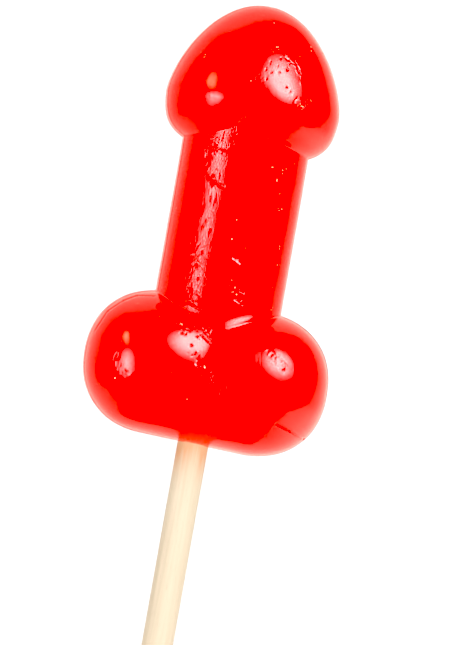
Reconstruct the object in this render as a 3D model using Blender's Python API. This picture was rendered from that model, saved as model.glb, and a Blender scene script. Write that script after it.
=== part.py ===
"""An adult novelty lollipop: red hard candy on a round wooden stick.

It lies on its back with the shown side up. X is across, Z is up, and the axis runs along Y, with
the candy's tip at +Y and the stick towards -Y. A distance called "along" is measured up the axis
from the candy's base, and an "angle" goes round the axis, from +X towards +Z.
"""
import math

import bmesh
import bpy
import numpy as np

MM = 0.001

# Stick: a round wooden rod with eased ends, cast into the candy
STICK_DIAMETER = 5.0 * MM
STICK_LENGTH = 150.0 * MM
STICK_IN_CANDY = 42.0 * MM
STICK_EASE = 0.5 * MM
STICK_SIDES = 32
STICK_GAP = 0.3 * MM

# Candy as a whole: cast in a mould of two halves, so front and back are alike in depth
CANDY_LENGTH = 70.65 * MM
HALF_DEPTH = 12.5 * MM
REST_FLAT = 0.25 * MM
TIP_LEAN = -0.3 * MM
COLUMNS = 72
CREASE_ROUNDING = 0.35 * MM

# Shaft
SHAFT_HALF_WIDTH = 10.1 * MM
SHAFT_HALF_DEPTH = 9.4 * MM

# Head: a dome over a rim that flares out of the shaft along the margin line
HEAD_HALF_WIDTH = 14.0 * MM
HEAD_WIDEST_ALONG = 54.5 * MM
HEAD_DOME_POWER = 1.5
MARGIN_ALONG = 47.8 * MM
MARGIN_SWELL = 1.6 * MM
MARGIN_PEAK = 2.3 * MM
MARGIN_PEAK_WIDTH = 2.6 * MM
MARGIN_PEAK_ROUNDING = 1.2 * MM
FLARE_LENGTH = 1.9 * MM
FRONT_FLARE_LENGTH = 2.7 * MM

# Lobes: two rounded masses side by side, with a shallow valley between them
LOBE_MIDDLE_ACROSS = 7.9 * MM
LOBE_HALF_WIDTH = 11.65 * MM
LOBE_MIDDLE_ALONG = 11.6 * MM
LOBE_HALF_LENGTH = 11.4 * MM
LOBE_POWER = 2.2
LOBE_DROP = 0.28 * MM
LOBE_CROWN_ACROSS = 7.5 * MM
LOBE_CROWN_RADIUS = 15.0 * MM
VALLEY_ROUNDING = 1.9 * MM
BASE_RING_ALONG = 1.35 * MM

# Rings of the candy's mesh from one key line to the next
BASE_RINGS = 4
LOBE_RINGS = 12
SHAFT_RINGS = 10
HEAD_RINGS = 16

BISECTION_STEPS = 40
SEARCH_REACH = 30.0 * MM

CANDY_RED = (0.62, 0.003, 0.004, 1.0)
STICK_WOOD = (0.86, 0.66, 0.43, 1.0)

# The axis lies at rest height, and the whole length is centred on the origin
AXIS_HEIGHT = HALF_DEPTH - REST_FLAT
BASE_Y = (STICK_LENGTH - STICK_IN_CANDY - CANDY_LENGTH) / 2


def smooth_greater(first, second, rounding):
    """The greater of two reaches, with a small fillet where they cross."""
    return (first + second + np.sqrt((first - second) ** 2 + rounding ** 2)) / 2


def ellipse_reach(half_width, half_depth, angle):
    """How far an ellipse round the axis reaches at an angle."""
    return 1 / np.sqrt((np.cos(angle) / half_width) ** 2 + (np.sin(angle) / half_depth) ** 2)


def shaft_reach(angle):
    return ellipse_reach(SHAFT_HALF_WIDTH, SHAFT_HALF_DEPTH, angle)


def frontness(angle):
    """How much an angle faces the shown side: 1 at the front, 0 from the sides to the back."""
    return np.maximum(np.sin(angle), 0) ** 2


def margin_line(angle):
    """Where the head's rim starts: level at the back, with a rounded arch on the shown side."""
    across = np.sqrt((SHAFT_HALF_WIDTH * np.cos(angle)) ** 2 + MARGIN_PEAK_ROUNDING ** 2)
    peak = MARGIN_PEAK * np.exp((MARGIN_PEAK_ROUNDING - across) / MARGIN_PEAK_WIDTH)
    return MARGIN_ALONG + np.where(np.sin(angle) > 0, MARGIN_SWELL * frontness(angle) + peak, 0)


def head_reach(along, angle):
    """The dome, less what the flare has still to gain just above the margin line."""
    dome_length = CANDY_LENGTH - HEAD_WIDEST_ALONG
    rise = np.clip((along - HEAD_WIDEST_ALONG) / dome_length, 0, 1)
    dome = np.sqrt(1 - rise ** HEAD_DOME_POWER)
    rim = ellipse_reach(HEAD_HALF_WIDTH, HALF_DEPTH, angle)
    above = np.maximum(along - margin_line(angle), 0)
    flare = FLARE_LENGTH + (FRONT_FLARE_LENGTH - FLARE_LENGTH) * frontness(angle)
    step = (rim - shaft_reach(angle)) * np.exp(-above / flare)
    return rim * dome - step


def lobe_middle(across):
    """The lobes' middle line: the right lobe sits a little lower than the left one."""
    return LOBE_MIDDLE_ALONG - LOBE_DROP * np.clip(across / LOBE_MIDDLE_ACROSS, -1, 1)


def lobe_depth(across):
    """Half the depth over the lobes' middle line, less in the valley between their crowns."""
    inside = LOBE_CROWN_ACROSS - np.sqrt(across ** 2 + VALLEY_ROUNDING ** 2)
    inside = np.maximum(inside, 0)
    return HALF_DEPTH - LOBE_CROWN_RADIUS + np.sqrt(LOBE_CROWN_RADIUS ** 2 - inside ** 2)


def lobe_fill(across, along, up):
    """Below 1 inside the lobes and above 1 outside them."""
    width_part = np.maximum(np.abs(across) - LOBE_MIDDLE_ACROSS, 0) / LOBE_HALF_WIDTH
    length_part = np.abs(along - lobe_middle(across)) / LOBE_HALF_LENGTH
    depth_part = np.abs(up) / lobe_depth(across)
    return width_part ** LOBE_POWER + length_part ** LOBE_POWER + depth_part ** LOBE_POWER


def bisect(is_inside, low, high):
    """The point between low and high where a shape is left, for whole arrays at once."""
    for _ in range(BISECTION_STEPS):
        middle = (low + high) / 2
        inside = is_inside(middle)
        low = np.where(inside, middle, low)
        high = np.where(inside, high, middle)
    return low


def lobe_reach(along, angle):
    def is_inside(reach):
        return lobe_fill(reach * np.cos(angle), along, reach * np.sin(angle)) < 1
    return bisect(is_inside, np.zeros_like(angle), np.full_like(angle, SEARCH_REACH))


def base_height(across, up):
    """How far along the axis the underside of the lobes lies at a place across and up."""
    def is_inside(drop):
        return lobe_fill(across, lobe_middle(across) - drop, up) < 1
    return lobe_middle(across) - bisect(is_inside, np.zeros_like(up), np.full_like(up, SEARCH_REACH))


def crotch_line(angle):
    """Where the lobes' upper side sinks into the shaft."""
    def is_inside(along):
        return lobe_reach(along, angle) > shaft_reach(angle)
    low = np.full_like(angle, LOBE_MIDDLE_ALONG)
    return bisect(is_inside, low, low + LOBE_HALF_LENGTH + LOBE_DROP)


def candy_reach(along, angle):
    """The shaft starts inside the lobes, and the head starts at the margin line."""
    trunk = np.where(along > margin_line(angle), head_reach(along, angle), shaft_reach(angle))
    trunk = np.where(along > LOBE_MIDDLE_ALONG, trunk, 0)
    return smooth_greater(trunk, lobe_reach(along, angle), CREASE_ROUNDING)


def leaning(along):
    """How much of the tip's sideways lean is there: none where the stick is, all at the tip."""
    return np.clip((along - STICK_IN_CANDY) / (CANDY_LENGTH - STICK_IN_CANDY), 0, 1)


def eased(steps):
    """Fractions from 0 to 1 that crowd towards both ends."""
    return [(1 - math.cos(math.pi * step / steps)) / 2 for step in range(steps + 1)]


def candy_rings():
    """Rings of points from the stick's socket, over the base, the lobes, the shaft and the head."""
    angle = np.arange(COLUMNS) * 2 * np.pi / COLUMNS
    socket = STICK_DIAMETER / 2 + STICK_GAP
    socket_end = STICK_IN_CANDY + STICK_GAP
    rings = [(np.full_like(angle, socket_end), np.full_like(angle, socket))]

    base_line = np.full_like(angle, BASE_RING_ALONG)
    base_edge = lobe_reach(base_line, angle)
    for step in range(BASE_RINGS):
        reach = socket + (base_edge - socket) * step / BASE_RINGS
        rings.append((base_height(reach * np.cos(angle), reach * np.sin(angle)), reach))

    key_lines = [base_line, crotch_line(angle), margin_line(angle), np.full_like(angle, CANDY_LENGTH)]
    ring_counts = [LOBE_RINGS, SHAFT_RINGS, HEAD_RINGS]
    for start, end, count in zip(key_lines, key_lines[1:], ring_counts):
        for fraction in eased(count)[:-1]:
            along = start + (end - start) * fraction
            rings.append((along, candy_reach(along, angle)))
    return angle, rings


def new_object(name, mesh_builder, material):
    builder = bmesh.new()
    mesh_builder(builder)
    bmesh.ops.recalc_face_normals(builder, faces=builder.faces)
    mesh = bpy.data.meshes.new(name)
    builder.to_mesh(mesh)
    builder.free()
    mesh.materials.append(material)
    mesh.shade_smooth()
    mesh.set_sharp_from_angle(angle=math.radians(50))
    piece = bpy.data.objects.new(name, mesh)
    bpy.context.collection.objects.link(piece)
    return piece


def principled(name, colour, roughness, transmission=0.0):
    material = bpy.data.materials.new(name)
    material.use_nodes = True
    shader = material.node_tree.nodes["Principled BSDF"]
    shader.inputs["Base Color"].default_value = colour
    shader.inputs["Roughness"].default_value = roughness
    shader.inputs["Metallic"].default_value = 0.0
    shader.inputs["Transmission Weight"].default_value = transmission
    return material


def build_candy(builder):
    """Bridges the rings into one skin and closes it at the socket's end and at the tip."""
    angle, rings = candy_rings()
    loops = []
    for along, reach in rings:
        up = np.maximum(reach * np.sin(angle), -AXIS_HEIGHT)
        across = reach * np.cos(angle) + TIP_LEAN * leaning(along)
        loops.append([builder.verts.new(place) for place in zip(across, BASE_Y + along, AXIS_HEIGHT + up)])
    for lower, upper in zip(loops, loops[1:]):
        for column in range(COLUMNS):
            following = (column + 1) % COLUMNS
            builder.faces.new((lower[column], lower[following], upper[following], upper[column]))
    builder.faces.new(loops[0])
    tip = builder.verts.new((TIP_LEAN, BASE_Y + CANDY_LENGTH, AXIS_HEIGHT))
    for column in range(COLUMNS):
        builder.faces.new((loops[-1][column], loops[-1][(column + 1) % COLUMNS], tip))


def build_stick(builder):
    """A rod along Y whose two ends are eased by a small bevel."""
    bmesh.ops.create_cone(
        builder, cap_ends=True, segments=STICK_SIDES,
        radius1=STICK_DIAMETER / 2, radius2=STICK_DIAMETER / 2, depth=STICK_LENGTH)
    end_edges = [edge for edge in builder.edges
                 if abs(edge.verts[0].co.z - edge.verts[1].co.z) < STICK_EASE]
    bmesh.ops.bevel(builder, geom=end_edges, offset=STICK_EASE, segments=2, profile=0.5,
                    affect="EDGES", clamp_overlap=True)


for leftover in list(bpy.data.objects):
    bpy.data.objects.remove(leftover)

new_object("candy", build_candy, principled("red_candy", CANDY_RED, 0.08, 0.6))

stick = new_object("stick", build_stick, principled("birch_wood", STICK_WOOD, 0.6))
stick.rotation_euler = (math.radians(90), 0, 0)
stick.location = (0, BASE_Y + STICK_IN_CANDY - STICK_LENGTH / 2, AXIS_HEIGHT)
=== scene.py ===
"""Looks of the red hard candy lollipop that lies on its back on a white floor.

X is across, Z is up, and the axis runs along Y with the candy's tip at +Y. "Along" is measured up the
axis from the candy's base, and an "angle" goes round the axis, from +X towards +Z. Lengths are in
metres, but those in the tables of marks on the candy, and the bare ones right below them, are in mm.
"""
import math

import bmesh
import bpy
import numpy as np
from mathutils import Matrix, Vector
from mathutils.bvhtree import BVHTree


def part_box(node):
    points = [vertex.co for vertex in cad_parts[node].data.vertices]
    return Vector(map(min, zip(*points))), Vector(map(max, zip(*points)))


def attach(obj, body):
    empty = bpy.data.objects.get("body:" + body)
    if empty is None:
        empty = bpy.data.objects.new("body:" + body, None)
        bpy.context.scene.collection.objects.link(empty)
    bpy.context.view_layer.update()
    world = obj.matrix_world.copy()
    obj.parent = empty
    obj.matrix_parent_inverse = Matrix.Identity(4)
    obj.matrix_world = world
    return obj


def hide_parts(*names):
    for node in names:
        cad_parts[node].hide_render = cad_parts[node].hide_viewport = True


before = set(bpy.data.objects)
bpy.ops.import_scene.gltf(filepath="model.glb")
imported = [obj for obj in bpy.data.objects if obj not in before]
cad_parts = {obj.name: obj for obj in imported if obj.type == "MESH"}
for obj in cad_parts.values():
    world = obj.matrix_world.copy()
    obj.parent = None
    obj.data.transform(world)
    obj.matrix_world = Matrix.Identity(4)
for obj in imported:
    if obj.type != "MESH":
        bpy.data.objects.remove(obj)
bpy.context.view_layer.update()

MM = 0.001
TURN = 2 * math.pi

# Places that the frame gives
CANDY_LOW, CANDY_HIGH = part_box("candy")
STICK_LOW, STICK_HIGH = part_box("stick")
AXIS_HEIGHT = (STICK_LOW.z + STICK_HIGH.z) / 2
STICK_RADIUS = (STICK_HIGH.x - STICK_LOW.x) / 2
STICK_LENGTH = STICK_HIGH.y - STICK_LOW.y

# Candy as a whole
CANDY_LENGTH = 70.65 * MM
HALF_DEPTH = 12.5 * MM
TIP_LEAN = -0.3 * MM
LEAN_START = 42.0 * MM
CREASE_ROUNDING = 0.35 * MM
BASE_Y = CANDY_HIGH.y - CANDY_LENGTH
CANDY_MIDDLE = Vector((0, BASE_Y + CANDY_LENGTH / 2, AXIS_HEIGHT))

# Shaft
SHAFT_HALF_WIDTH = 10.1 * MM
SHAFT_HALF_DEPTH = 9.4 * MM

# Head
HEAD_HALF_WIDTH = 14.0 * MM
HEAD_WIDEST_ALONG = 54.5 * MM
HEAD_DOME_POWER = 1.5
MARGIN_ALONG = 47.8 * MM
MARGIN_SWELL = 1.6 * MM
MARGIN_PEAK = 2.3 * MM
MARGIN_PEAK_WIDTH = 2.6 * MM
MARGIN_PEAK_ROUNDING = 1.2 * MM
FLARE_LENGTH = 1.9 * MM
FRONT_FLARE_LENGTH = 2.7 * MM

# Lobes
LOBE_MIDDLE_ACROSS = 7.9 * MM
LOBE_HALF_WIDTH = 11.65 * MM
LOBE_MIDDLE_ALONG = 11.6 * MM
LOBE_HALF_LENGTH = 11.4 * MM
LOBE_POWER = 2.2
LOBE_DROP = 0.28 * MM
LOBE_CROWN_ACROSS = 7.5 * MM
LOBE_CROWN_RADIUS = 15.0 * MM
VALLEY_ROUNDING = 1.9 * MM
BASE_RING_ALONG = 1.35 * MM

# Mesh of the candy's skin: columns crowd on the shown side and most of all at the outline
COLUMNS = 240
FRONT_CROWDING = 1.8
SIDE_CROWDING = 1.2
SIDE_FOCUS = 4
SAMPLES_PER_COLUMN = 20
BASE_RINGS = 22
LOBE_RINGS = 78
SHAFT_RINGS = 76
HEAD_RINGS = 68
EDGE_CROWDING = 0.6
BISECTION_STEPS = 36
SEARCH_REACH = 30.0 * MM
REFINE_WIDTHS = 1.5
REFINE_MARGIN = 0.09 * MM
REFINE_CUTS = 3

# Unevenness of the cast surface
WAVE_SEED = 5
WAVE_COUNT = 24
WAVE_LENGTHS = (2.2 * MM, 7.5 * MM)
WAVE_SLOPE = 0.010

# The mould's parting seam
SEAM_RISE = 1.6 * MM
SEAM_TILT = 0.09
SEAM_HEIGHT = 0.10 * MM
SEAM_WIDTH = 0.16 * MM
SEAM_STRENGTHS = (1.0, 0.4)

# Raised lines, and grooves of a height below 0, on the shown side: across, along, to across, to along,
# width, height
LINES = [
    (-6.3, 22.4, -4.0, 21.8, 0.12, 0.10),
    (-4.0, 21.8, -2.5, 21.3, 0.18, 0.12),
    (-2.4, 19.5, -0.5, 18.4, 0.16, 0.14),
    (-1.7, 17.5, -0.5, 16.5, 0.12, -0.10),
    (0.9, 30.0, 2.4, 29.2, 0.16, 0.14),
    (2.4, 23.6, 4.2, 22.8, 0.10, 0.08),
    (3.6, 23.7, 2.8, 21.8, 0.10, 0.08),
    (1.8, 19.3, 6.0, 21.35, 0.65, 0.17),
    (1.45, 12.2, 1.55, 10.6, 0.45, 0.105),
    (-18.3, 15.3, -16.9, 18.6, 0.10, -0.09),
    (-16.9, 18.6, -14.8, 20.6, 0.10, -0.09),
    (-14.8, 20.6, -12.8, 21.8, 0.12, -0.12),
    (-12.8, 21.8, -10.0, 22.2, 0.10, -0.09),
    (12.4, 5.8, 14.6, 5.0, 0.15, -0.18),
    (14.6, 5.0, 17.4, 3.9, 0.15, -0.18),
    (-5.4, 46.8, -2.4, 46.5, 0.11, -0.08),
    (-5.2, 41.9, -2.3, 41.0, 0.14, -0.09),
]

# Tangles of short scratches: across, along, to across, to along, spread, how many, height, direction in
# degrees and how far it scatters
TANGLES = [
    (9.2, 17.0, 12.0, 14.8, 0.30, 16, 0.045, 0, 180), (-1.4, 17.9, 0.2, 16.6, 0.25, 10, 0.10, 0, 180),
    (-5.2, 24.2, -3.2, 21.8, 0.45, 16, 0.08, 0, 180), (-2.3, 14.0, -0.4, 12.5, 0.45, 8, 0.05, 0, 180),
    (-7.8, 20.2, -5.6, 18.6, 0.50, 8, 0.04, 0, 180), (-6.0, 49.6, -5.4, 43.0, 0.40, 26, 0.06, 84, 12),
    (-2.2, 51.0, -2.0, 44.0, 0.25, 14, 0.05, 86, 10), (-1.8, 51.6, 0.6, 53.4, 0.25, 9, 0.05, 76, 10),
    (-5.9, 42.4, -3.6, 41.0, 0.30, 12, 0.08, 150, 50), (-5.7, 47.0, -4.2, 46.4, 0.25, 10, 0.08, 0, 180),
    (-4.6, 31.5, -5.2, 26.0, 0.60, 16, 0.05, 0, 180), (3.0, 26.0, 3.6, 22.6, 0.55, 9, 0.04, 0, 180),
    (-4.8, 17.8, -2.6, 18.2, 0.30, 6, 0.06, 0, 180), (5.0, 63.2, 7.2, 59.0, 0.25, 12, 0.035, 125, 12),
    (-14.2, 12.8, -13.8, 9.0, 0.30, 14, 0.05, 84, 14), (-12.6, 9.8, -11.4, 9.2, 0.25, 6, 0.03, 80, 20),
    (1.0, 12.3, 1.1, 10.4, 0.15, 12, 0.07, 84, 12), (4.2, 62.4, 5.4, 61.2, 0.25, 8, 0.05, 0, 180),
    (-4.2, 50.4, -3.7, 42.6, 0.65, 9, 0.045, 86, 12), (-4.0, 40.6, -4.2, 33.0, 0.55, 6, 0.04, 86, 14),
]
TANGLE_SEED = 3
SCRATCH_LENGTHS = (0.35, 1.0)
SCRATCH_WIDTH = 0.085
SCRATCH_RISES = (0.6, 1.2)

# Ring-shaped grooves round sunk bubbles: across, along, radius
RINGS = [(7.1, 55.8, 0.85), (-0.9, 0.7, 0.4)]
RING_WIDTH = 0.13
RING_DEPTH = 0.05

# Pits on the shown side: across, along, radius. Their depth is a share of the radius.
PITS = [
    (3.0, 62.3, 0.22), (4.4, 60.8, 0.26), (4.7, 57.9, 0.22), (1.5, 61.4, 0.18), (1.0, 60.2, 0.18),
    (1.9, 59.8, 0.20), (2.7, 61.1, 0.15), (3.2, 60.1, 0.18), (1.3, 58.6, 0.18), (5.5, 57.3, 0.18),
    (-4.4, 46.3, 0.27), (-3.6, 50.6, 0.20), (-4.3, 42.4, 0.28), (-4.7, 41.9, 0.26), (-2.7, 40.9, 0.20),
    (-4.8, 37.7, 0.24), (-4.1, 35.2, 0.24), (-4.5, 34.2, 0.30), (-3.1, 33.9, 0.26), (-3.2, 38.8, 0.18),
    (-3.8, 48.1, 0.18), (-3.8, 30.4, 0.22), (-4.4, 28.2, 0.24), (-3.7, 26.1, 0.26), (-4.7, 24.6, 0.24),
    (-4.7, 17.2, 0.24), (-2.2, 17.1, 0.24), (-2.9, 15.6, 0.28), (12.0, 14.3, 0.26), (-12.4, 9.9, 0.16),
]
PIT_DEPTH = 0.45

# Bubbles that break the surface: across, along, how many, how far they spread
BUBBLE_GROUPS = [
    (-8.8, 60.6, 3, 0.5), (1.0, 67.8, 1, 0.1), (-0.5, 60.2, 1, 0.1), (-1.0, 57.9, 1, 0.1),
    (2.1, 63.7, 7, 0.8), (7.2, 64.9, 4, 0.6), (5.9, 63.2, 1, 0.1), (7.5, 55.3, 8, 0.7),
    (8.6, 56.4, 3, 0.5), (5.1, 52.2, 1, 0.1), (4.7, 45.2, 2, 0.2), (6.5, 45.0, 3, 0.5),
    (5.7, 43.5, 3, 0.5), (6.5, 41.6, 2, 0.3), (6.9, 39.0, 4, 0.6), (0.6, 36.2, 1, 0.1),
    (8.1, 46.5, 2, 0.4), (0.4, 33.1, 1, 0.1), (3.6, 33.8, 1, 0.1), (2.8, 32.1, 1, 0.1),
    (7.9, 33.1, 2, 0.4), (8.3, 30.5, 2, 0.4), (8.0, 26.5, 3, 0.6), (8.5, 23.4, 2, 0.3),
    (-5.8, 20.5, 1, 0.1), (-4.1, 20.4, 1, 0.1), (-5.0, 18.5, 4, 0.6), (-2.1, 7.2, 1, 0.1),
    (-13.8, 8.5, 2, 0.2), (-0.9, 0.6, 2, 0.2), (2.6, 25.5, 5, 1.4), (-0.5, 12.3, 3, 1.1),
]
BUBBLE_SEED = 11
BUBBLE_RADII = (0.07 * MM, 0.17 * MM)
BUBBLE_FLATNESS = 0.6
BUBBLE_SINK = 0.35
BUBBLE_SUBDIVISIONS = 2
SPECK_COUNT = 110
SPECK_RADII = (0.035 * MM, 0.075 * MM)

# How high the search for the surface under a bubble starts, and how little the surface may face up there
RAY_HEIGHT = 1.0
LEAST_FACING_UP = 0.3

# Bubbles' material, whose pale base colour is a painted glint: the shader's plain values, the dimmest and
# the brightest colour, and how rare the bright ones are
BUBBLE_SHADER = {"Roughness": 0.15, "IOR": 1.4}
BUBBLE_DIM = (1.0, 0.12, 0.07, 1)
BUBBLE_PAINTED_GLINT = (1.0, 0.80, 0.50, 1)
BUBBLE_RARITY = 1.3

# Candy's material: the plain values of its nodes, the depth of its streaks, and how rough its smoothest
# and its roughest places are
SUGAR_SHADER = {"Base Color": (1.0, 0.05, 0.04, 1), "IOR": 1.5, "Transmission Weight": 0.75}
SUGAR_ABSORPTION = {"Color": (1.0, 0.20, 0.0, 1), "Density": 1050.0}
SUGAR_BUMP = {"Strength": 1.0, "Distance": 0.02 * MM}
SUGAR_ROUGHNESS = (0.03, 0.10)
STREAK_DEPTH = 0.4

# Textures drawn out lengthwise: cells for each radian round the axis and for each metre along it
STREAK_CELLS = (26.0, 260.0)
FROST_CELLS = (17.0, 1050.0)
GRAIN_CELLS = (2.6, 45.0)
FLECK_CELLS = (12.0, 420.0)

# Random patches: a noise's scale and detail, and the two of its values that it is stretched between
STREAK_NOISE = (1.0, 3.0, 0.56, 0.68)
STREAK_PATCH_NOISE = (260.0, 2.0, 0.44, 0.60)
ROUGHNESS_NOISE = (400.0, 2.0, 0.3, 0.7)
GRAIN_NOISE = (1.6, 4.0, 0.35, 0.65)
FLECK_NOISE = (1.3, 3.0, 0.60, 0.74)
STAIN_NOISE = (2.0, 2.0, 0.3, 0.7)
CARD_NOISE = (8.0, 2.0, 0.3, 0.7)

# Fine pits: cells for each metre, the share of them that has a pit, and how far from its middle the pit's
# floor ends and its rim lies, in cells
FINE_PITS = (850.0, 0.45, 0.08, 0.17)
FROST_PITS = (1500.0, 0.5, 0.05, 0.22)

# Fine frosting, strongest on a strip of the shaft: its left and right edge, its low and high end in mm.
# The edges of this strip and of the tilted one are equally soft.
FROST_STRIP = (-7.0, -1.8, 20.0, 50.0)
STRIP_EDGE = 1.0 * MM
FROST_ELSEWHERE = 0.12
FROST_GROOVE = 0.16
FROST_GROOVE_DEPTH = 0.5
FROST_PIT_DEPTH = 1.6

# Slight tilt of the shaft's gloss towards the base, which grows up the frosted strip: where the tilt is
# seen, where it starts and is greatest in mm, its slope there and how it grows
TILT_STRIP = (-8.5, 0.5, 20.0, 51.0)
TILT_RISE = (28.0, 50.5)
TILT_SLOPE = 0.185
TILT_POWER = 1.15

# Stick
STICK_SIDES = 96
STICK_RINGS = 420
STICK_CROWDING = 0.4
STICK_EASE = 0.5 * MM

# Grain of the stick: waves, their number round it, and their drift and swell along it in radians a metre
GRAIN_SEED = 5
GRAIN_DEPTH = 0.035 * MM
GRAIN_WAVES = 18
GRAIN_COUNTS = (3, 26)
GRAIN_DRIFT = 40
GRAIN_SWELLS = (40, 260)

# Wood's material: the plain values of its nodes, and its colours from the lowest layer to the highest
WOOD_SHADER = {"Roughness": 0.62, "IOR": 1.4}
WOOD_BUMP = {"Strength": 0.6, "Distance": 0.02 * MM}
WOOD_BUMP_NOISE = (1.6, 3.0)
WOOD_COLOUR = (0.71, 0.588, 0.444, 1)
GRAIN_COLOUR = (0.65, 0.545, 0.402, 1)
FLECK_COLOUR = (0.54, 0.43, 0.30, 1)
FLECK_SHARE = 0.35
# Colour of the real pink stain, which also carries painted shade on the stick's sides
STAIN_AND_SIDE_SHADE_COLOUR = (0.668, 0.36, 0.21, 1)
SOAKED_COLOUR = (0.95, 0.10, 0.05, 1)

# Stain below the candy, which also paints shade on the stick's sides: its length, how uneven it is, how the
# painted side shade grows from the stick's middle to its sides, how fast it grows towards the candy, and
# where inside the candy the wood is soaked
STAIN_LENGTH = 8.0 * MM
STAIN_PATCHES = (0.85, 1.1)
SIDE_SHADE_ACROSS = (0.3 * MM, 2.2 * MM)
PAINTED_SIDE_SHADE = (0.95, 1.35)
STAIN_POWER = 2.0
SOAKED_RISE = (0.2 * MM, 0.9 * MM)

# Camera: it looks straight down, turned so that the axis leans to the right in the picture
PICTURE_HEIGHT = 102.4 * MM
PICTURE_TURN = math.radians(10.1)
PICTURE_MIDDLE_ACROSS = 2.79 * MM
PICTURE_MIDDLE_ALONG = 20.25 * MM
SENSOR = 36.0
LENS = 250.0

# Soft panels: name, azimuth and elevation in degrees, size, radiance, the brightest place across and up,
# the share of the panel that is equally bright, how fast the light fades, colour and roll in degrees
PANELS = [
    ("left_panel", -164, 47, (0.34, 0.25), 13.5, (0.44, 0.5), 0.0, 1.0, (1, 1, 1), 0),
    ("right_panel", 47.5, 45.5, (0.54, 0.50), 16.0, (0.55, 0.475), 0.30, 1.5, (1, 1, 1), 0),
    ("upper_left_panel", 156, 34, (0.25, 0.13), 15.0, (0.35, 0.5), 0.1, 1.0, (1.0, 0.58, 0.38), 55),
]
LIGHT_DISTANCE = 0.45
PANEL_ROUNDNESS = 2.0

# World, sun and the dome that carries the cards
WORLD_STRENGTH = 0.85
SUN_STRENGTH = 2.2
SUN_WIDTH = 1.5
SUN_TOWARDS = (0.18, 0, 0.98)
SURROUND_SUBDIVISIONS = 5
SURROUND_RADIUS = 1.2
SURROUND_COLOUR = (1.0, 0.96, 0.84, 1)

# White cards all round the candy: azimuth and elevation of their top edge, their light near the top and
# the softness of the edge, angles in degrees
CARDS = [
    (-180, -13, 1.15, 12), (-160, -18, 1.15, 12), (-148, -12, 1.35, 12), (-138, 0, 1.55, 12),
    (-124, -1, 1.45, 12), (-110, -24, 1.25, 10), (-93, -27, 1.35, 8), (-82, -18, 1.60, 10),
    (-70, 6, 1.80, 14), (-52, 22, 2.30, 12), (-36, 25, 2.75, 8), (-24, 17, 2.60, 8),
    (-15, 2, 2.10, 8), (-5, -13, 1.35, 10), (20, -28, 1.00, 12), (50, -30, 1.15, 12),
    (70, -18, 1.50, 14), (90, -6, 1.75, 16), (114, 3, 1.80, 18), (133, -9, 1.50, 14),
    (155, -14, 1.20, 12),
]
TOP_LIMITS = (-50, 50)
LIGHT_LIMITS = (0, 4)
EDGE_LIMITS = (0, 30)
CARD_RAGGEDNESS = 3.0

# Light of the cards further down: it changes to the low light from the higher to the lower elevation, and
# right at the bottom falls to a share that darkens the candy's outline
CARD_FADE = (-68, -12)
CARD_LOW_LIGHT = 1.35
CARD_BOTTOM = (-84, -73)
OUTLINE_SHADE = 0.1

# Floor
FLOOR_HALF = 1.5
FLOOR_DROP = 0.02 * MM
FLOOR_SHADER = {"Base Color": (0.78, 0.78, 0.78, 1), "Roughness": 0.9, "Specular IOR Level": 0.1}

# Picture
GLOSSY_BOUNCES = 12
TRANSMISSION_BOUNCES = 20
MAX_BOUNCES = 24
BLACK_LEVEL = 0.08


def smooth_greater(first, second, rounding):
    """The greater of two reaches, with a small fillet where they cross."""
    return (first + second + np.sqrt((first - second) ** 2 + rounding ** 2)) / 2


def ellipse_reach(half_width, half_depth, angle):
    return 1 / np.sqrt((np.cos(angle) / half_width) ** 2 + (np.sin(angle) / half_depth) ** 2)


def shaft_reach(angle):
    return ellipse_reach(SHAFT_HALF_WIDTH, SHAFT_HALF_DEPTH, angle)


def frontness(angle):
    """How much an angle faces the shown side: 1 at the front, 0 from the sides to the back."""
    return np.maximum(np.sin(angle), 0) ** 2


def margin_line(angle):
    """Where the head's rim starts: level at the back, with a rounded arch on the shown side."""
    across = np.sqrt((SHAFT_HALF_WIDTH * np.cos(angle)) ** 2 + MARGIN_PEAK_ROUNDING ** 2)
    peak = MARGIN_PEAK * np.exp((MARGIN_PEAK_ROUNDING - across) / MARGIN_PEAK_WIDTH)
    return MARGIN_ALONG + np.where(np.sin(angle) > 0, MARGIN_SWELL * frontness(angle) + peak, 0)


def head_reach(along, angle):
    """The dome, less what the flare has still to gain just above the margin line."""
    dome_length = CANDY_LENGTH - HEAD_WIDEST_ALONG
    rise = np.clip((along - HEAD_WIDEST_ALONG) / dome_length, 0, 1)
    dome = np.sqrt(1 - rise ** HEAD_DOME_POWER)
    rim = ellipse_reach(HEAD_HALF_WIDTH, HALF_DEPTH, angle)
    above = np.maximum(along - margin_line(angle), 0)
    flare = FLARE_LENGTH + (FRONT_FLARE_LENGTH - FLARE_LENGTH) * frontness(angle)
    step = (rim - shaft_reach(angle)) * np.exp(-above / flare)
    return rim * dome - step


def lobe_middle(across):
    return LOBE_MIDDLE_ALONG - LOBE_DROP * np.clip(across / LOBE_MIDDLE_ACROSS, -1, 1)


def lobe_depth(across):
    """Half the depth over the lobes' middle line, less in the valley between their crowns."""
    inside = np.maximum(LOBE_CROWN_ACROSS - np.sqrt(across ** 2 + VALLEY_ROUNDING ** 2), 0)
    return HALF_DEPTH - LOBE_CROWN_RADIUS + np.sqrt(LOBE_CROWN_RADIUS ** 2 - inside ** 2)


def lobe_fill(across, along, up):
    """Below 1 inside the lobes and above 1 outside them."""
    width_part = np.maximum(np.abs(across) - LOBE_MIDDLE_ACROSS, 0) / LOBE_HALF_WIDTH
    length_part = np.abs(along - lobe_middle(across)) / LOBE_HALF_LENGTH
    depth_part = np.abs(up) / lobe_depth(across)
    return width_part ** LOBE_POWER + length_part ** LOBE_POWER + depth_part ** LOBE_POWER


def bisect(is_inside, low, high):
    """The point between low and high where a shape is left, for whole arrays at once."""
    for _ in range(BISECTION_STEPS):
        middle = (low + high) / 2
        inside = is_inside(middle)
        low = np.where(inside, middle, low)
        high = np.where(inside, high, middle)
    return low


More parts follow.
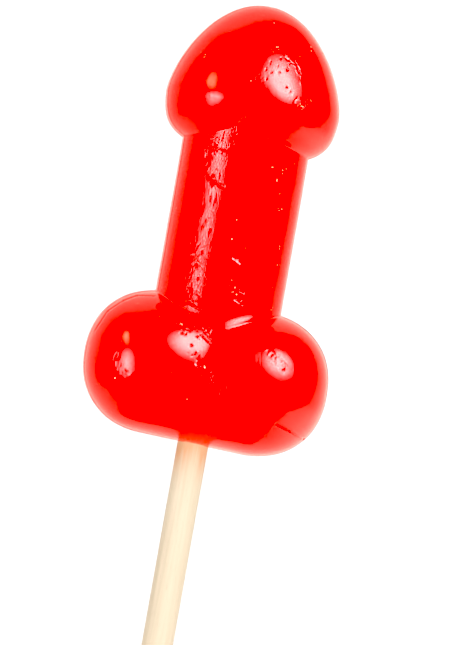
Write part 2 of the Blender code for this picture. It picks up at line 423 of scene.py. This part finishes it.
def lobe_reach(along, angle):
    def is_inside(reach):
        return lobe_fill(reach * np.cos(angle), along, reach * np.sin(angle)) < 1
    return bisect(is_inside, np.zeros_like(angle), np.full_like(angle, SEARCH_REACH))


def base_height(across, up):
    """How far along the axis the underside of the lobes lies at a place across and up."""
    def is_inside(drop):
        return lobe_fill(across, lobe_middle(across) - drop, up) < 1
    return lobe_middle(across) - bisect(is_inside, np.zeros_like(up), np.full_like(up, SEARCH_REACH))


def crotch_line(angle):
    """Where the lobes' upper side sinks into the shaft."""
    def is_inside(along):
        return lobe_reach(along, angle) > shaft_reach(angle)
    low = np.full_like(angle, LOBE_MIDDLE_ALONG)
    return bisect(is_inside, low, low + LOBE_HALF_LENGTH + LOBE_DROP)


def candy_reach(along, angle):
    """The shaft starts inside the lobes, and the head starts at the margin line."""
    trunk = np.where(along > margin_line(angle), head_reach(along, angle), shaft_reach(angle))
    trunk = np.where(along > LOBE_MIDDLE_ALONG, trunk, 0)
    return smooth_greater(trunk, lobe_reach(along, angle), CREASE_ROUNDING)


def leaning(along):
    return TIP_LEAN * np.clip((along - LEAN_START) / (CANDY_LENGTH - LEAN_START), 0, 1)


def place(along, reach, angle):
    """Points in the frame from distances along, out from and round the axis."""
    across = reach * np.cos(angle) + leaning(along)
    up = np.maximum(reach * np.sin(angle), -AXIS_HEIGHT)
    return np.stack([across, BASE_Y + along, AXIS_HEIGHT + up], axis=-1)


def crowded(steps, crowding):
    """Fractions from 0 to 1 that crowd towards both ends."""
    fraction = np.arange(steps + 1) / steps
    return fraction - crowding * np.sin(TURN * fraction) / TURN


def crowded_angles():
    """Angles once round the axis from the back, closer together at the front and at the sides."""
    fine = np.linspace(-0.25 * TURN, 0.75 * TURN, SAMPLES_PER_COLUMN * COLUMNS + 1)
    density = 1 + FRONT_CROWDING * (np.sin(fine) > 0) + SIDE_CROWDING * np.cos(fine) ** SIDE_FOCUS
    passed = np.concatenate([[0], np.cumsum((density[1:] + density[:-1]) / 2)])
    return np.interp(np.arange(COLUMNS) * passed[-1] / COLUMNS, passed, fine)


def skin_grid():
    """Points of the candy's skin, ring after ring from the base's middle to the tip."""
    angle = crowded_angles()
    base_line = np.full_like(angle, BASE_RING_ALONG)
    base_edge = lobe_reach(base_line, angle)
    rings = []
    for step in range(1, BASE_RINGS):
        reach = base_edge * step / BASE_RINGS
        rings.append((base_height(reach * np.cos(angle), reach * np.sin(angle)), reach))
    key_lines = [base_line, crotch_line(angle), margin_line(angle), np.full_like(angle, CANDY_LENGTH)]
    for start, end, count in zip(key_lines, key_lines[1:], [LOBE_RINGS, SHAFT_RINGS, HEAD_RINGS]):
        for fraction in crowded(count, EDGE_CROWDING)[:-1]:
            along = start + (end - start) * fraction
            rings.append((along, candy_reach(along, angle)))
    return np.array([place(along, reach, angle) for along, reach in rings])


def capped_skin(name, grid, start_point, end_point):
    """A closed mesh from a grid of rings, with a fan of triangles at each end."""
    ring_count, columns = grid.shape[:2]
    points = np.concatenate([grid.reshape(-1, 3), [start_point, end_point]])
    faces = []
    for ring in range(ring_count - 1):
        for column in range(columns):
            here = ring * columns + column
            beside = ring * columns + (column + 1) % columns
            faces.append((here, beside, beside + columns, here + columns))
    start_index = ring_count * columns
    last_ring = (ring_count - 1) * columns
    for column in range(columns):
        beside = (column + 1) % columns
        faces.append((beside, column, start_index))
        faces.append((last_ring + column, last_ring + beside, start_index + 1))
    mesh = bpy.data.meshes.new(name)
    mesh.from_pydata(points.tolist(), [], faces)
    builder = bmesh.new()
    builder.from_mesh(mesh)
    bmesh.ops.recalc_face_normals(builder, faces=builder.faces)
    builder.to_mesh(mesh)
    builder.free()
    return mesh


def mesh_from(builder, name):
    """A new mesh of what a bmesh holds."""
    mesh = bpy.data.meshes.new(name)
    builder.to_mesh(mesh)
    builder.free()
    return mesh


def new_object(name, data):
    """An object in the scene for a mesh, a lamp or a camera."""
    made = bpy.data.objects.new(name, data)
    bpy.context.scene.collection.objects.link(made)
    return made


def hide_from(piece, *rays):
    """Keeps a piece out of what some kinds of ray find."""
    for ray in rays:
        setattr(piece, f"visible_{ray}", False)


def finished_piece(name, mesh, material, node=None):
    """An object for a mesh, which stands for a node or is added to what is there."""
    mesh.shade_smooth()
    mesh.materials.append(material)
    piece = new_object(name, mesh)
    if node:
        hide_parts(node)
    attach(piece, "root")
    return piece


def vertex_arrays(mesh):
    """The places and the normals of a mesh's points."""
    places = np.empty(len(mesh.vertices) * 3)
    mesh.vertices.foreach_get("co", places)
    normals = np.empty(len(mesh.vertices) * 3)
    mesh.vertex_normals.foreach_get("vector", normals)
    return places.reshape(-1, 3), normals.reshape(-1, 3)


def distance_to_line(places, ends):
    """How far places are from a line on the shown side, seen from above."""
    start_across, start_along, end_across, end_along = ends
    start = np.array([start_across * MM, BASE_Y + start_along * MM])
    end = np.array([end_across * MM, BASE_Y + end_along * MM])
    run = end - start
    share = np.clip(((places[:, :2] - start) @ run) / (run @ run), 0, 1)
    return np.linalg.norm(places[:, :2] - start - share[:, None] * run, axis=1)


def distance_to_spot(places, across, along):
    return np.hypot(places[:, 0] - across * MM, places[:, 1] - BASE_Y - along * MM)


def all_lines():
    """The single lines, and the short scratches of the tangles, some raised and some sunk."""
    draw = np.random.default_rng(TANGLE_SEED)
    lines = list(LINES)
    for *ends, spread, count, height, direction, scatter in TANGLES:
        start, end = np.array(ends[:2]), np.array(ends[2:])
        for _ in range(count):
            share = draw.uniform()
            middle = start * (1 - share) + end * share
            middle += draw.normal(scale=spread, size=2)
            turned = math.radians(direction + draw.uniform(-scatter, scatter))
            half = draw.uniform(*SCRATCH_LENGTHS) / 2 * np.array([math.cos(turned), math.sin(turned)])
            rise = height * draw.uniform(*SCRATCH_RISES) * draw.choice((-1, 1))
            lines.append((*(middle - half), *(middle + half), SCRATCH_WIDTH, rise))
    return lines


def refine_marks(mesh, lines):
    """Splits the faces under the lines, rings and pits of the shown side into smaller ones."""
    builder = bmesh.new()
    builder.from_mesh(mesh)
    faces = list(builder.faces)
    centres = np.array([face.calc_center_median() for face in faces])
    shown = np.array([face.normal.z for face in faces]) > 0
    near = np.zeros(len(faces), dtype=bool)
    for *ends, width, _ in lines:
        near |= distance_to_line(centres, ends) < REFINE_WIDTHS * width * MM + REFINE_MARGIN
    for across, along, radius in PITS + RINGS:
        near |= distance_to_spot(centres, across, along) < radius * MM + REFINE_MARGIN
    edges = {edge for face, chosen in zip(faces, near & shown) if chosen for edge in face.edges}
    bmesh.ops.subdivide_edges(builder, edges=list(edges), cuts=REFINE_CUTS, use_grid_fill=True)
    builder.to_mesh(mesh)
    builder.free()


def wave_relief(places):
    """Slow unevenness: waves in random directions, whose slopes are all alike."""
    draw = np.random.default_rng(WAVE_SEED)
    total = np.zeros(len(places))
    for _ in range(WAVE_COUNT):
        direction = draw.normal(size=3)
        direction /= np.linalg.norm(direction)
        length = draw.uniform(*WAVE_LENGTHS)
        total += length / TURN * np.sin(places @ direction * TURN / length + draw.uniform(0, TURN))
    return WAVE_SLOPE * total * math.sqrt(2 / WAVE_COUNT)


def seam_relief(places):
    """A fine ridge all round, a little above mid height, strongest towards the left."""
    level = AXIS_HEIGHT + SEAM_RISE - SEAM_TILT * places[:, 0]
    strength = np.interp(places[:, 0], [CANDY_LOW.x, CANDY_HIGH.x], SEAM_STRENGTHS)
    return SEAM_HEIGHT * strength * np.exp(-((places[:, 2] - level) / SEAM_WIDTH) ** 2)


def mark_relief(places, normals, lines):
    """Raised lines, grooves, rings and round pits on the shown side."""
    total = np.zeros(len(places))
    for *ends, width, height in lines:
        total += height * MM * np.exp(-(distance_to_line(places, ends) / (width * MM)) ** 2)
    for across, along, radius in RINGS:
        from_ring = distance_to_spot(places, across, along) - radius * MM
        total -= RING_DEPTH * MM * np.exp(-(from_ring / (RING_WIDTH * MM)) ** 2)
    for across, along, radius in PITS:
        from_middle = distance_to_spot(places, across, along) / (radius * MM)
        total -= PIT_DEPTH * (radius * MM) * np.maximum(1 - from_middle ** 2, 0)
    return np.where(normals[:, 2] > 0, total, 0)


def feed(tree, target, values):
    """Gives a node's inputs plain values, or links them to other nodes."""
    for name, value in values.items():
        if isinstance(value, bpy.types.NodeSocket):
            tree.links.new(value, target.inputs[name])
        else:
            target.inputs[name].default_value = value


def node(tree, kind, values=None, **settings):
    """A new shader node with its settings and its inputs."""
    made = tree.nodes.new(kind)
    for name, value in settings.items():
        setattr(made, name, value)
    feed(tree, made, values or {})
    return made


def new_material(name, values):
    """A material, its node tree and its main shader, which has its plain values."""
    material = bpy.data.materials.new(name)
    material.use_nodes = True
    shader = material.node_tree.nodes["Principled BSDF"]
    feed(material.node_tree, shader, values)
    return material, material.node_tree, shader


def combined(tree, operation, *values):
    """Values joined by a sum, a difference or the like, or one value changed."""
    return node(tree, "ShaderNodeMath", dict(enumerate(values)), operation=operation).outputs[0]


def combined_vectors(tree, operation, *vectors):
    return node(tree, "ShaderNodeVectorMath", dict(enumerate(vectors)), operation=operation).outputs[0]


def product(tree, first, *others):
    for other in others:
        first = combined(tree, "MULTIPLY", first, other)
    return first


def parts_of(tree, vector):
    """The X, Y and Z of a vector."""
    return node(tree, "ShaderNodeSeparateXYZ", {"Vector": vector}).outputs


def mapped(tree, source, low, high, to_low=0.0, to_high=1.0, kind="LINEAR"):
    """A value stretched from one range to another, and kept inside it."""
    values = {"Value": source, "From Min": low, "From Max": high, "To Min": to_low, "To Max": to_high}
    return node(tree, "ShaderNodeMapRange", values, interpolation_type=kind).outputs["Result"]


def layered(tree, factor, below, above):
    """One colour over another by a factor."""
    values = {"Factor": factor, "A": below, "B": above}
    return node(tree, "ShaderNodeMix", values, data_type="RGBA").outputs["Result"]


def noise(tree, coordinates, scale, detail):
    values = {"Vector": coordinates, "Scale": scale, "Detail": detail}
    return node(tree, "ShaderNodeTexNoise", values).outputs["Fac"]


def noise_between(tree, coordinates, scale, detail, low, high, to_low=0.0, to_high=1.0):
    """Soft random patches: a noise stretched between two of its values."""
    return mapped(tree, noise(tree, coordinates, scale, detail), low, high, to_low, to_high)


def wrapped_coordinates(tree, around, lengthwise):
    """Coordinates round and along the axis, which draw a texture out lengthwise, and the plain ones."""
    plain = node(tree, "ShaderNodeTexCoord").outputs["Object"]
    from_axis = combined_vectors(tree, "SUBTRACT", plain, (0, 0, AXIS_HEIGHT))
    flat = combined_vectors(tree, "MULTIPLY", from_axis, (1, 0, 1))
    outward = combined_vectors(tree, "NORMALIZE", flat)
    turned = combined_vectors(tree, "MULTIPLY", outward, (around, 0, around))
    return combined_vectors(tree, "MULTIPLY_ADD", plain, (0, lengthwise, 0), turned), plain


def strip_share(tree, plain, strip):
    """1 on a strip of the shaft, and 0 beyond its soft edges."""
    left, right, low, high = strip
    across, along, _ = parts_of(tree, plain)
    sides = [
        (across, left * MM, 0.0, 1.0), (across, right * MM - STRIP_EDGE, 1.0, 0.0),
        (along, BASE_Y + low * MM, 0.0, 1.0), (along, BASE_Y + high * MM - STRIP_EDGE, 1.0, 0.0),
    ]
    shares = [mapped(tree, source, start, start + STRIP_EDGE, before, after)
              for source, start, before, after in sides]
    return product(tree, *shares)


def chosen_pits(tree, coordinates, scale, share, floor, rim):
    """Round pits at random places, in a share of the cells that a cell texture gives."""
    cells = node(tree, "ShaderNodeTexVoronoi", {"Vector": coordinates, "Scale": scale})
    split = node(tree, "ShaderNodeSeparateColor", {"Color": cells.outputs["Color"]})
    chosen = combined(tree, "LESS_THAN", split.outputs[0], share)
    return product(tree, mapped(tree, cells.outputs["Distance"], floor, rim, 1.0, 0.0), chosen)


def frosting(tree):
    """A net of fine lengthwise grooves with small pits in it, strongest on the frosted strip."""
    crazed, plain = wrapped_coordinates(tree, *FROST_CELLS)
    net = node(tree, "ShaderNodeTexVoronoi", {"Vector": crazed, "Scale": 1.0}, feature="DISTANCE_TO_EDGE")
    grooves = mapped(tree, net.outputs["Distance"], 0.0, FROST_GROOVE, FROST_GROOVE_DEPTH, 0.0)
    pits = product(tree, chosen_pits(tree, plain, *FROST_PITS), FROST_PIT_DEPTH)
    strength = combined(tree, "MAXIMUM", strip_share(tree, plain, FROST_STRIP), FROST_ELSEWHERE)
    return product(tree, combined(tree, "ADD", grooves, pits), strength)


def tilted_normal(tree, plain, normal):
    """A normal that leans towards the base, more and more up the frosted strip."""
    start, greatest = TILT_RISE
    along = parts_of(tree, plain)["Y"]
    growth = mapped(tree, along, BASE_Y + start * MM, BASE_Y + greatest * MM)
    growth = combined(tree, "POWER", growth, TILT_POWER)
    lean = product(tree, growth, strip_share(tree, plain, TILT_STRIP), -TILT_SLOPE)
    offset = node(tree, "ShaderNodeCombineXYZ", {"Y": lean})
    return combined_vectors(tree, "NORMALIZE", combined_vectors(tree, "ADD", normal, offset.outputs[0]))


def candy_material():
    """Clear red sugar whose surface has fine lengthwise streaks, small pits and a frosted strip."""
    material, tree, shader = new_material("red_candy", SUGAR_SHADER)
    absorption = node(tree, "ShaderNodeVolumeAbsorption", SUGAR_ABSORPTION)
    feed(tree, tree.nodes["Material Output"], {"Volume": absorption.outputs["Volume"]})

    wrapped, plain = wrapped_coordinates(tree, *STREAK_CELLS)
    streaks = noise_between(tree, wrapped, *STREAK_NOISE)
    dents = product(tree, streaks, noise_between(tree, plain, *STREAK_PATCH_NOISE), STREAK_DEPTH)
    relief = combined(tree, "ADD", dents, chosen_pits(tree, plain, *FINE_PITS))
    relief = combined(tree, "ADD", relief, frosting(tree))
    bump = node(tree, "ShaderNodeBump", {**SUGAR_BUMP, "Height": relief}, invert=True)
    feed(tree, shader, {
        "Normal": tilted_normal(tree, plain, bump.outputs["Normal"]),
        "Roughness": noise_between(tree, plain, *ROUGHNESS_NOISE, *SUGAR_ROUGHNESS)})
    return material


def bubble_material():
    """Painted glints: each bubble's base colour goes from red to pale by a strength of its own."""
    material, tree, shader = new_material("bubble_painted_glints", BUBBLE_SHADER)
    geometry = node(tree, "ShaderNodeNewGeometry")
    strength = combined(tree, "POWER", geometry.outputs["Random Per Island"], BUBBLE_RARITY)
    # The pale colour paints each bubble's glint
    feed(tree, shader, {"Base Color": layered(tree, strength, BUBBLE_DIM, BUBBLE_PAINTED_GLINT)})
    return material


def wood_material():
    """Pale birch with lengthwise grain, fine dark flecks and a pink stain at the candy, which grows
    stronger towards the stick's sides as painted shade.
    """
    material, tree, shader = new_material("birch", WOOD_SHADER)
    wrapped, plain = wrapped_coordinates(tree, *GRAIN_CELLS)
    fine, _ = wrapped_coordinates(tree, *FLECK_CELLS)
    across, along, _ = parts_of(tree, plain)
    grain = noise_between(tree, wrapped, *GRAIN_NOISE)
    flecks = product(tree, noise_between(tree, fine, *FLECK_NOISE), FLECK_SHARE)
    # Real pink stain, made stronger towards the stick's sides as painted shade
    stain_and_side_shade = product(
        tree, noise_between(tree, wrapped, *STAIN_NOISE, *STAIN_PATCHES),
        mapped(tree, along, BASE_Y - STAIN_LENGTH, BASE_Y),
        mapped(tree, combined(tree, "ABSOLUTE", across), *SIDE_SHADE_ACROSS, *PAINTED_SIDE_SHADE))
    soaked = mapped(tree, along, *(BASE_Y + inside for inside in SOAKED_RISE))
    colour = WOOD_COLOUR
    for factor, layer in (
            (grain, GRAIN_COLOUR), (flecks, FLECK_COLOUR),
            (combined(tree, "POWER", stain_and_side_shade, STAIN_POWER), STAIN_AND_SIDE_SHADE_COLOUR), (soaked, SOAKED_COLOUR)):
        colour = layered(tree, factor, colour, layer)
    bump = node(tree, "ShaderNodeBump", {**WOOD_BUMP, "Height": noise(tree, fine, *WOOD_BUMP_NOISE)})
    feed(tree, shader, {"Base Color": colour, "Normal": bump.outputs["Normal"]})
    return material


def floor_material():
    """Plain white."""
    material, _, _ = new_material("floor", FLOOR_SHADER)
    return material


def make_candy():
    """The one cast body: its form, then the unevenness, seam and marks of its surface."""
    nothing = np.zeros(1)
    start = place(base_height(nothing, nothing), nothing, nothing)[0]
    end = place(nothing + CANDY_LENGTH, nothing, nothing)[0]
    mesh = capped_skin("candy_skin", skin_grid(), start, end)
    lines = all_lines()
    refine_marks(mesh, lines)
    places, normals = vertex_arrays(mesh)
    relief = wave_relief(places) + seam_relief(places) + mark_relief(places, normals, lines)
    places += normals * relief[:, None]
    places[:, 2] = np.maximum(places[:, 2], 0)
    mesh.vertices.foreach_set("co", places.ravel())
    candy = finished_piece("candy_skin", mesh, candy_material(), "candy")
    hide_from(candy, "shadow", "diffuse")
    return candy


def bubble_places():
    """Where the bubbles and then the specks are, across and along, and how big they are."""
    draw = np.random.default_rng(BUBBLE_SEED)
    beads = []
    for across, along, count, spread in BUBBLE_GROUPS:
        for _ in range(count):
            offset = draw.normal(scale=spread / 2, size=2) if count > 1 else (0, 0)
            beads.append(((across + offset[0]) * MM, (along + offset[1]) * MM, draw.uniform(*BUBBLE_RADII)))
    for _ in range(SPECK_COUNT):
        across = draw.uniform(CANDY_LOW.x, CANDY_HIGH.x)
        beads.append((across, draw.uniform(0, CANDY_LENGTH), draw.uniform(*SPECK_RADII)))
    return beads


def make_bubbles(candy):
    """Small flattened beads sunk into the candy's surface where bubbles broke it, with their glints painted
    into their pale colour.
    """
    builder = bmesh.new()
    builder.from_mesh(candy.data)
    surface = BVHTree.FromBMesh(builder)
    builder.free()
    down = Vector((0, 0, -1))
    flattening = Matrix.Diagonal((1, 1, BUBBLE_FLATNESS, 1))
    builder = bmesh.new()
    for across, along, radius in bubble_places():
        found, normal, _, _ = surface.ray_cast(Vector((across, BASE_Y + along, RAY_HEIGHT)), down)
        if found is None or normal.z < LEAST_FACING_UP:
            continue
        turn = normal.to_track_quat("Z", "Y").to_matrix().to_4x4()
        shape = Matrix.Translation(found - normal * radius * BUBBLE_SINK) @ turn @ flattening
        bmesh.ops.create_icosphere(builder, subdivisions=BUBBLE_SUBDIVISIONS, radius=radius, matrix=shape)
    bubbles = finished_piece("bubbles", mesh_from(builder, "bubbles"), bubble_material())
    hide_from(bubbles, "shadow")


def grain_relief(angle, lengthwise):
    """Shallow lengthwise grooves whose depth comes and goes along the stick."""
    draw = np.random.default_rng(GRAIN_SEED)
    total = np.zeros(np.broadcast(angle, lengthwise).shape)
    for _ in range(GRAIN_WAVES):
        count = draw.integers(*GRAIN_COUNTS)
        drift = draw.uniform(-GRAIN_DRIFT, GRAIN_DRIFT)
        swell = np.sin(lengthwise * draw.uniform(*GRAIN_SWELLS) + draw.uniform(0, TURN))
        total += swell * np.sin(count * angle + drift * lengthwise + draw.uniform(0, TURN))
    return total / math.sqrt(GRAIN_WAVES)


def make_stick():
    """A round rod with eased ends and shallow grain."""
    angle = np.arange(STICK_SIDES) * TURN / STICK_SIDES
    lengthwise = crowded(STICK_RINGS, STICK_CROWDING) * STICK_LENGTH
    from_end = np.minimum(lengthwise, STICK_LENGTH - lengthwise)
    rounding = np.clip(1 - from_end / STICK_EASE, 0, 1)
    ease = STICK_EASE * (1 - np.sqrt(1 - rounding ** 2))
    reach = (STICK_RADIUS - GRAIN_DEPTH - ease)[:, None]
    reach = reach + GRAIN_DEPTH / 2 * grain_relief(angle[None, :], lengthwise[:, None])
    ahead = np.broadcast_to((STICK_LOW.y + lengthwise)[:, None], reach.shape)
    grid = np.stack([reach * np.cos(angle), ahead, AXIS_HEIGHT + reach * np.sin(angle)], axis=-1)
    mesh = capped_skin("stick_rod", grid, (0, STICK_LOW.y, AXIS_HEIGHT), (0, STICK_HIGH.y, AXIS_HEIGHT))
    stick = finished_piece("stick_rod", mesh, wood_material(), "stick")
    hide_from(stick, "shadow")


def set_camera():
    """A distant camera straight above the lollipop."""
    camera = new_object("camera", bpy.data.cameras.new("camera"))
    camera.data.lens = LENS
    camera.data.sensor_width = SENSOR
    camera.data.sensor_fit = "VERTICAL"
    camera.data.sensor_height = SENSOR
    distance = PICTURE_HEIGHT * LENS / SENSOR
    camera.location = (PICTURE_MIDDLE_ACROSS, BASE_Y + PICTURE_MIDDLE_ALONG, AXIS_HEIGHT + distance)
    camera.rotation_euler = (0, 0, PICTURE_TURN)
    bpy.context.scene.camera = camera


def soften_panel(lamp, focus, core, falloff):
    """Lets a panel's light fade from a core round its brightest place to all four edges."""
    lamp.use_nodes = True
    tree = lamp.node_tree
    geometry = node(tree, "ShaderNodeNewGeometry")
    squares = []
    for source, brightest in zip(parts_of(tree, geometry.outputs["Parametric"]), focus):
        short = mapped(tree, source, 0.0, brightest, 1.0, 0.0)
        beyond = mapped(tree, source, brightest, 1.0)
        squares.append(combined(tree, "POWER", combined(tree, "ADD", short, beyond), PANEL_ROUNDNESS))
    away = combined(tree, "POWER", combined(tree, "ADD", *squares), 1 / PANEL_ROUNDNESS)
    strength = combined(tree, "POWER", mapped(tree, away, core, 1.0, 1.0, 0.0), falloff)
    feed(tree, tree.nodes["Emission"], {"Strength": strength})


def add_panel(name, azimuth, elevation, size, radiance, focus, core, falloff, colour, roll):
    """A soft light that stands in a direction from the candy, faces it and shows in its gloss."""
    azimuth, elevation, roll = math.radians(azimuth), math.radians(elevation), math.radians(roll)
    flat = math.cos(elevation)
    towards = Vector((flat * math.cos(azimuth), flat * math.sin(azimuth), math.sin(elevation)))
    level = Vector((-math.sin(azimuth), math.cos(azimuth), 0))
    across = level * math.cos(roll) + towards.cross(level) * math.sin(roll)
    lamp = bpy.data.lights.new(name, "AREA")
    lamp.shape = "RECTANGLE"
    lamp.size, lamp.size_y = size
    lamp.energy = radiance * math.pi * lamp.size * lamp.size_y
    lamp.color = colour
    soften_panel(lamp, focus, core, falloff)
    light = new_object(name, lamp)
    turn = Matrix((across, towards.cross(across), towards)).transposed().to_4x4()
    light.matrix_world = Matrix.Translation(CANDY_MIDDLE + towards * LIGHT_DISTANCE) @ turn
    hide_from(light, "camera", "diffuse", "transmission")


def add_sun():
    """A very wide soft light from the right, which shades the wood and leaves the gloss alone."""
    lamp = bpy.data.lights.new("soft_sun", "SUN")
    lamp.energy = SUN_STRENGTH
    lamp.angle = SUN_WIDTH
    sun = new_object("soft_sun", lamp)
    sun.rotation_euler = Vector(SUN_TOWARDS).to_track_quat("Z", "Y").to_euler()
    hide_from(sun, "glossy")


def set_world():
    """Even white light from all sides, which the gloss doesn't show."""
    world = bpy.data.worlds.new("studio")
    bpy.context.scene.world = world
    world.use_nodes = True
    feed(world.node_tree, world.node_tree.nodes["Background"], {
        "Color": (1, 1, 1, 1), "Strength": WORLD_STRENGTH})
    world.cycles_visibility.glossy = False


def curve_over_azimuth(tree, azimuth, values, low, high):
    """A column of the cards' table, between two limits, as a smooth curve over the azimuth."""
    curve = node(tree, "ShaderNodeFloatCurve", {"Value": mapped(tree, azimuth, -math.pi, math.pi)})
    points = curve.mapping.curves[0].points
    table = [((card[0] + 180) / 360, (value - low) / (high - low)) for card, value in zip(CARDS, values)]
    points[0].location = table[0]
    points[1].location = (1.0, table[0][1])
    for place_and_value in table[1:]:
        points.new(*place_and_value)
    curve.mapping.update()
    return mapped(tree, curve.outputs["Value"], 0.0, 1.0, low, high)


def card_light(tree, direction):
    """The light of the cards in each direction: none above their top edges, and less far down."""
    _, tops, lights, edges = zip(*CARDS)
    across, ahead, up = parts_of(tree, direction)
    azimuth = combined(tree, "ARCTAN2", ahead, across)
    elevation = product(tree, combined(tree, "ARCSINE", up), 360 / TURN)
    ragged = noise_between(tree, direction, *CARD_NOISE, -CARD_RAGGEDNESS, CARD_RAGGEDNESS)
    top = curve_over_azimuth(tree, azimuth, tops, *TOP_LIMITS)
    below_top = combined(tree, "SUBTRACT", top, combined(tree, "ADD", elevation, ragged))
    share = combined(tree, "DIVIDE", below_top, curve_over_azimuth(tree, azimuth, edges, *EDGE_LIMITS))
    inside = mapped(tree, share, -0.5, 0.5, kind="SMOOTHSTEP")
    brightest = curve_over_azimuth(tree, azimuth, lights, *LIGHT_LIMITS)
    gain = combined(tree, "SUBTRACT", brightest, CARD_LOW_LIGHT)
    faded = product(tree, gain, mapped(tree, elevation, *CARD_FADE))
    light = combined(tree, "ADD", faded, CARD_LOW_LIGHT)
    return product(tree, light, inside, mapped(tree, elevation, *CARD_BOTTOM, OUTLINE_SHADE, 1.0))


def surround_material():
    """A glow that the gloss reflects and that isn't sampled as a lamp."""
    material = bpy.data.materials.new("surround")
    material.use_nodes = True
    material.cycles.emission_sampling = "NONE"
    tree = material.node_tree
    tree.nodes.clear()
    coordinates = node(tree, "ShaderNodeTexCoord")
    direction = combined_vectors(tree, "NORMALIZE", coordinates.outputs["Object"])
    light = card_light(tree, direction)
    glow = node(tree, "ShaderNodeEmission", {"Color": SURROUND_COLOUR, "Strength": light})
    node(tree, "ShaderNodeOutputMaterial", {"Surface": glow.outputs[0]})
    return material


def add_surround():
    """White cards all round, mostly lower than the candy, that show only in its gloss."""
    builder = bmesh.new()
    bmesh.ops.create_icosphere(builder, subdivisions=SURROUND_SUBDIVISIONS, radius=SURROUND_RADIUS)
    mesh = mesh_from(builder, "surround")
    mesh.materials.append(surround_material())
    surround = new_object("surround", mesh)
    surround.location = CANDY_MIDDLE
    hide_from(surround, "camera", "diffuse", "transmission", "shadow")


def add_floor():
    """A wide floor just under the lollipop, which the gloss doesn't show."""
    mesh = bpy.data.meshes.new("floor")
    corners = [(-1, -1), (1, -1), (1, 1), (-1, 1)]
    mesh.from_pydata([(x * FLOOR_HALF, y * FLOOR_HALF, 0) for x, y in corners], [], [(0, 1, 2, 3)])
    mesh.materials.append(floor_material())
    floor = new_object("floor", mesh)
    floor.location.z = -FLOOR_DROP
    hide_from(floor, "glossy")


def set_picture():
    """Deep blacks as in the photograph, and enough bounces for light inside clear sugar."""
    scene = bpy.context.scene
    scene.cycles.glossy_bounces = GLOSSY_BOUNCES
    scene.cycles.transmission_bounces = TRANSMISSION_BOUNCES
    scene.cycles.max_bounces = MAX_BOUNCES
    scene.view_settings.view_transform = "Standard"
    scene.view_settings.use_curve_mapping = True
    scene.view_settings.curve_mapping.black_level = (BLACK_LEVEL, BLACK_LEVEL, BLACK_LEVEL)
    scene.view_settings.curve_mapping.update()


set_camera()
set_world()
add_sun()
add_floor()
add_surround()
set_picture()
for panel in PANELS:
    add_panel(*panel)

candy = make_candy()
make_bubbles(candy)
make_stick()
